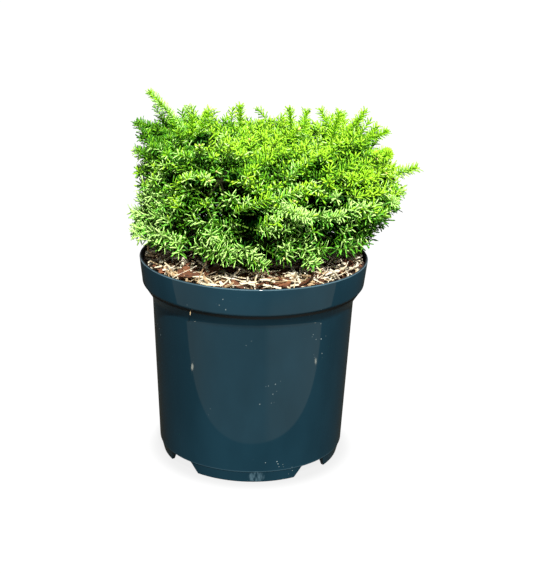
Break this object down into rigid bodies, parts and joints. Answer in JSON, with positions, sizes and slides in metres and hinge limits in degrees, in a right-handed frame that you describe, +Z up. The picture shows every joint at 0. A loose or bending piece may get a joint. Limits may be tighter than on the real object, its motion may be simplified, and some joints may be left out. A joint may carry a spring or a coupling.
{
  "type": "potted dwarf conifer",
  "caption": "Potted dwarf conifer: a dense, flat-topped cushion of short bright green needles on a short stem, in a round plastic nursery pot.",
  "frame": {"origin": "middle of the pot's underside, on the surface it stands on", "axes": "+Z up along the pot's axis; -Y is the front; +X is to the right seen from the front"},
  "size_m": [0.2357, 0.2131, 0.3053],
  "materials": {
    "container_plastic": "moulded plastic, satin gloss, dark blue-grey",
    "mulch": "shredded wood fibre, bark chips and dark potting mix, matt",
    "bark": "rough brown bark, matt",
    "foliage": "bright green needles, slightly waxy"
  },
  "bodies": {
    "root": {"pot": "container_plastic", "potting_mix": "mulch", "trunk": "bark", "bough_low_1": "bark", "bough_low_2": "bark", "bough_low_3": "bark", "bough_low_4": "bark", "bough_low_5": "bark", "bough_low_6": "bark", "bough_low_7": "bark", "bough_high_1": "bark", "bough_high_2": "bark", "bough_high_3": "bark", "bough_high_4": "bark", "bough_high_5": "bark", "bough_high_6": "bark", "bough_high_7": "bark", "bough_top_1": "bark", "bough_top_2": "bark", "bough_top_3": "bark", "bough_top_4": "bark", "foliage_low_1": "foliage", "foliage_low_2": "foliage", "foliage_low_3": "foliage", "foliage_low_4": "foliage", "foliage_low_5": "foliage", "foliage_low_6": "foliage", "foliage_low_7": "foliage", "foliage_high_1": "foliage", "foliage_high_2": "foliage", "foliage_high_3": "foliage", "foliage_high_4": "foliage", "foliage_high_5": "foliage", "foliage_high_6": "foliage", "foliage_high_7": "foliage", "foliage_top_1": "foliage", "foliage_top_2": "foliage", "foliage_top_3": "foliage", "foliage_top_4": "foliage"}
  },
  "joints": []
}
